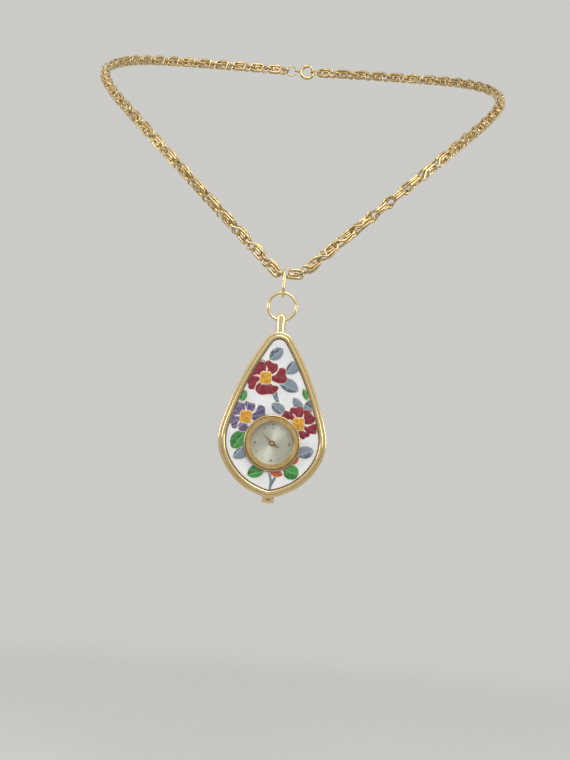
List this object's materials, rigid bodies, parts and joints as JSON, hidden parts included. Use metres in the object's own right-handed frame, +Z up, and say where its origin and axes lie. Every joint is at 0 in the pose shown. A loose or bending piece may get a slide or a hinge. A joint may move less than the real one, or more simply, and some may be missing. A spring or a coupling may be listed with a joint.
{
  "type": "pendant watch",
  "caption": "Drop-shaped enamel pendant watch with a hinged back, swinging on a ring and bail from a scroll-link neck chain with a spring ring clasp.",
  "frame": {"origin": "middle of the nape, on the inner side of the neck chain at the clasp", "axes": "+Z up as worn, front of the watch towards -Y, +X to the right of the watch seen from the front"},
  "size_m": [0.1399, 0.1161, 0.173],
  "materials": {
    "gold_chain": "polished",
    "gold_clasp": "polished",
    "gold_case": "polished",
    "copper": "plain",
    "enamel_white": "gloss",
    "enamel_red": "gloss",
    "enamel_violet": "gloss",
    "enamel_yellow": "gloss",
    "enamel_grey_blue": "gloss",
    "enamel_green": "gloss",
    "enamel_orange": "gloss",
    "crystal": "clear",
    "gasket": "plain",
    "reflector": "polished",
    "dial_silver": "sunray",
    "gilt": "polished",
    "holder_plastic": "plain",
    "steel": "brushed",
    "movement_brass": "satin",
    "wheel_plastic": "plain",
    "coil_wire": "enamelled",
    "board": "plain"
  },
  "bodies": {
    "chain": {"chain_left_front": "gold_chain", "chain_left_side": "gold_chain", "chain_left_back": "gold_chain", "chain_right_front": "gold_chain", "chain_right_side": "gold_chain", "chain_right_back": "gold_chain", "chain_bottom_link": "gold_chain", "left_end_ring": "gold_chain", "right_end_ring": "gold_chain", "clasp_body": "gold_clasp", "clasp_spring": "steel"},
    "clasp_tongue": {"clasp_tongue": "gold_clasp"},
    "bail": {"bail": "gold_chain"},
    "jump_ring": {"jump_ring": "gold_chain"},
    "pendant": {"case_frame": "gold_case", "neck_post": "gold_case", "hinge_pin": "gold_case", "plaque_plate": "copper", "enamel_ground": "enamel_white", "enamel_blossom": "enamel_orange", "enamel_green_leaves": "enamel_green", "enamel_grey_leaves": "enamel_grey_blue", "enamel_red_petals": "enamel_red", "enamel_stamens": "enamel_yellow", "enamel_stems": "enamel_grey_blue", "enamel_violet_petals": "enamel_violet", "watch_bezel": "gold_case", "crystal": "crystal", "crystal_gasket": "gasket", "reflector_ring": "reflector", "dial": "dial_silver", "hour_markers": "gilt", "hour_studs": "gilt", "movement_cup": "steel", "movement_holder": "holder_plastic", "main_plate": "movement_brass", "train_bridge": "movement_brass", "coil": "coil_wire", "coil_core": "steel", "stator": "steel", "battery": "steel", "battery_strap": "steel", "circuit_board": "board", "quartz_can": "steel", "plate_screws": "steel"},
    "back_cover": {"back_cover": "gold_case"},
    "minute_train": {"centre_wheel": "movement_brass", "cannon_pinion": "movement_brass", "minute_hand": "gilt"},
    "hour_train": {"hour_wheel": "wheel_plastic", "hour_hand": "gilt"},
    "minute_wheel": {"minute_wheel": "wheel_plastic"},
    "intermediate_wheel": {"intermediate_wheel": "wheel_plastic"},
    "rotor": {"rotor": "wheel_plastic"},
    "setting_lever": {"setting_lever": "steel"},
    "crown_and_stem": {"setting_stem": "steel", "crown": "movement_brass"}
  },
  "joints": [
    {"name": "bail_swing", "type": "hinge", "parent": "chain", "child": "bail", "pos_m": [0, -0.11072, -0.10016], "axis": [1, 0, 0], "range_deg": [-20, 20]},
    {"name": "ring_swing", "type": "hinge", "parent": "bail", "child": "jump_ring", "pos_m": [0, -0.11072, -0.10583], "axis": [0, 1, 0], "range_deg": [-25, 25]},
    {"name": "pendant_swing", "type": "hinge", "parent": "jump_ring", "child": "pendant", "pos_m": [0, -0.11072, -0.11325], "axis": [1, 0, 0], "range_deg": [-50, 50]},
    {"name": "cover_hinge", "type": "hinge", "parent": "pendant", "child": "back_cover", "pos_m": [0, -0.10882, -0.16868], "axis": [-1, 0, 0], "range_deg": [0, 100]},
    {"name": "minute_turn", "type": "hinge", "parent": "pendant", "child": "minute_train", "pos_m": [0, -0.11072, -0.15135], "axis": [0, 1, 0], "continuous": true},
    {"name": "hour_turn", "type": "hinge", "parent": "pendant", "child": "hour_train", "pos_m": [0, -0.11072, -0.15135], "axis": [0, 1, 0], "continuous": true},
    {"name": "minute_wheel_turn", "type": "hinge", "parent": "pendant", "child": "minute_wheel", "pos_m": [-0.00216, -0.11072, -0.15286], "axis": [0, 1, 0], "continuous": true},
    {"name": "intermediate_turn", "type": "hinge", "parent": "pendant", "child": "intermediate_wheel", "pos_m": [-0.002, -0.11072, -0.14789], "axis": [0, 1, 0], "continuous": true},
    {"name": "rotor_turn", "type": "hinge", "parent": "pendant", "child": "rotor", "pos_m": [0.00069, -0.11072, -0.14663], "axis": [0, 1, 0], "continuous": true},
    {"name": "stem_pull", "type": "slide", "parent": "pendant", "child": "setting_lever", "axis": [1, 0, 0], "range_m": [0, 0.0007]},
    {"name": "crown_turn", "type": "hinge", "parent": "setting_lever", "child": "crown_and_stem", "pos_m": [0.00485, -0.11112, -0.15135], "axis": [1, 0, 0], "continuous": true},
    {"name": "tongue_turn", "type": "hinge", "parent": "chain", "child": "clasp_tongue", "pos_m": [0.00238, -0.00159, 0.00002], "axis": [0, -1, 0], "range_deg": [0, 60], "stiffness_Nm_per_rad": 0.002}
  ],
  "couplings": [
    {"joint": "hour_turn", "follows": "minute_turn", "ratio": 0.083333},
    {"joint": "minute_wheel_turn", "follows": "minute_turn", "ratio": -0.33333},
    {"joint": "intermediate_turn", "follows": "minute_turn", "ratio": -9},
    {"joint": "rotor_turn", "follows": "minute_turn", "ratio": 90}
  ]
}
